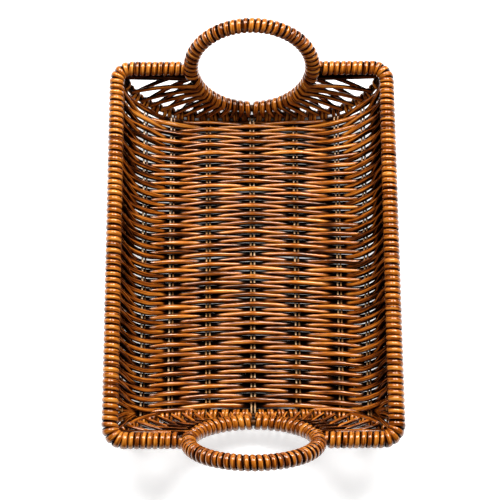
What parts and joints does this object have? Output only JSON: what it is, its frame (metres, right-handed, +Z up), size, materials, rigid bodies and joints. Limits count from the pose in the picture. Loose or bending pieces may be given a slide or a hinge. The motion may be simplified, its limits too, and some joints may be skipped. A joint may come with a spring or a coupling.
{
  "type": "wine bottle basket",
  "caption": "Open trough-shaped wicker basket with a bound rim, fan-laced ends and a bound hoop handle at each end, for laying a bottle in.",
  "frame": {"origin": "centre of the footprint, on the plane that the woven floor stands on", "axes": "+Z up, +Y along the basket from the near handle to the far handle, +X across it"},
  "size_m": [0.259, 0.3956, 0.1137],
  "materials": {
    "rattan_pole": "lacquered rattan pole, satin",
    "rattan_reed": "stained and lacquered reed, semi-gloss",
    "rattan_binding": "stained and lacquered binding reed, semi-gloss"
  },
  "bodies": {
    "root": {"rim_core_left": "rattan_pole", "rim_core_right": "rattan_pole", "rim_binding_left": "rattan_binding", "rim_binding_right": "rattan_binding", "hoop_core_far": "rattan_pole", "hoop_core_near": "rattan_pole", "grip_binding_far": "rattan_binding", "grip_binding_near": "rattan_binding", "bow_far": "rattan_pole", "bow_near": "rattan_pole", "lacing_far": "rattan_binding", "lacing_near": "rattan_binding", "stake_1": "rattan_pole", "stake_2a": "rattan_pole", "stake_2b": "rattan_pole", "stake_3a": "rattan_pole", "stake_3b": "rattan_pole", "stake_4a": "rattan_pole", "stake_4b": "rattan_pole", "stake_5a": "rattan_pole", "stake_5b": "rattan_pole", "stake_6a": "rattan_pole", "stake_6b": "rattan_pole", "stake_7a": "rattan_pole", "stake_7b": "rattan_pole", "stake_8a": "rattan_pole", "stake_8b": "rattan_pole", "stake_9": "rattan_pole", "weaver_01": "rattan_reed", "weaver_02": "rattan_reed", "weaver_03": "rattan_reed", "weaver_04": "rattan_reed", "weaver_05": "rattan_reed", "weaver_06": "rattan_reed", "weaver_07": "rattan_reed", "weaver_08": "rattan_reed", "border_weaver": "rattan_reed", "corner_weaver_left": "rattan_reed", "corner_weaver_right": "rattan_reed"}
  },
  "joints": []
}
